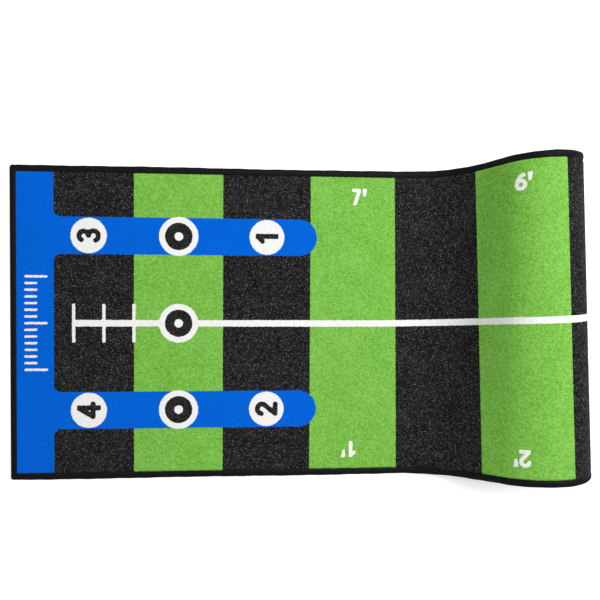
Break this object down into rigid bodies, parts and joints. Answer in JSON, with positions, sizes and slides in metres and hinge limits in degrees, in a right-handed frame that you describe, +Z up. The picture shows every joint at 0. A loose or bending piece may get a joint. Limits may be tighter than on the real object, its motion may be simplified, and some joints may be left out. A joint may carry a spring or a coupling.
{
  "type": "practice putting mat",
  "caption": "Printed pile putting mat, part unrolled: a flat putting end with targets, alignment lines and foot stripes, rising over its own roll.",
  "frame": {"origin": "on the floor, under the middle of the part's box, ramp and roll included", "axes": "+X along the mat from its head end to its roll, +Y across the mat, +Z up from the floor"},
  "size_m": [0.9845, 0.5498, 0.1416],
  "materials": {
    "pile_blue": "cut pile, matt, printed",
    "pile_black": "cut pile, matt, printed",
    "pile_green": "cut pile, matt, printed",
    "pile_rolled": "cut pile, matt, printed in stripes that the visual model shows",
    "scrim": "woven scrim, matt, greige",
    "underlay": "matt, finely textured",
    "binding": "sewn over edge, polyester thread, slight sheen"
  },
  "bodies": {
    "head_panel": {"header_pile": "pile_blue", "black_1_pile": "pile_black", "head_scrim": "scrim", "head_rubber": "underlay", "head_binding_near": "binding", "head_binding_far": "binding", "head_binding": "binding"},
    "green_panel_1": {"green_1_pile": "pile_green", "green_1_scrim": "scrim", "green_1_rubber": "underlay", "green_1_binding_near": "binding", "green_1_binding_far": "binding"},
    "black_panel_2": {"black_2_pile": "pile_black", "black_2_scrim": "scrim", "black_2_rubber": "underlay", "black_2_binding_near": "binding", "black_2_binding_far": "binding"},
    "foot_panel": {"green_2_pile": "pile_green", "black_3_pile": "pile_black", "foot_scrim": "scrim", "foot_rubber": "underlay", "foot_binding_near": "binding", "foot_binding_far": "binding"},
    "roll_end": {"ramp_black_pile": "pile_black", "ramp_green_pile": "pile_green", "ramp_scrim": "scrim", "ramp_rubber": "underlay", "ramp_binding_near": "binding", "ramp_binding_far": "binding", "roll_pile": "pile_rolled", "roll_scrim": "scrim", "roll_rubber": "underlay", "roll_binding_near": "binding", "roll_binding_far": "binding", "tail_binding": "binding"}
  },
  "joints": [
    {"name": "bend_3", "type": "hinge", "parent": "foot_panel", "child": "black_panel_2", "pos_m": [0.02013, -0.00593, 0.00175], "axis": [0, 1, 0], "range_deg": [0, 50]},
    {"name": "bend_2", "type": "hinge", "parent": "black_panel_2", "child": "green_panel_1", "pos_m": [-0.13227, -0.00593, 0.00175], "axis": [0, 1, 0], "range_deg": [0, 50]},
    {"name": "bend_1", "type": "hinge", "parent": "green_panel_1", "child": "head_panel", "pos_m": [-0.28467, -0.00593, 0.00175], "axis": [0, 1, 0], "range_deg": [0, 50]},
    {"name": "foot_bend", "type": "hinge", "parent": "foot_panel", "child": "roll_end", "pos_m": [0.19253, -0.00593, 0.00175], "axis": [0.0419, -0.9991, 0], "range_deg": [0, 50]}
  ]
}
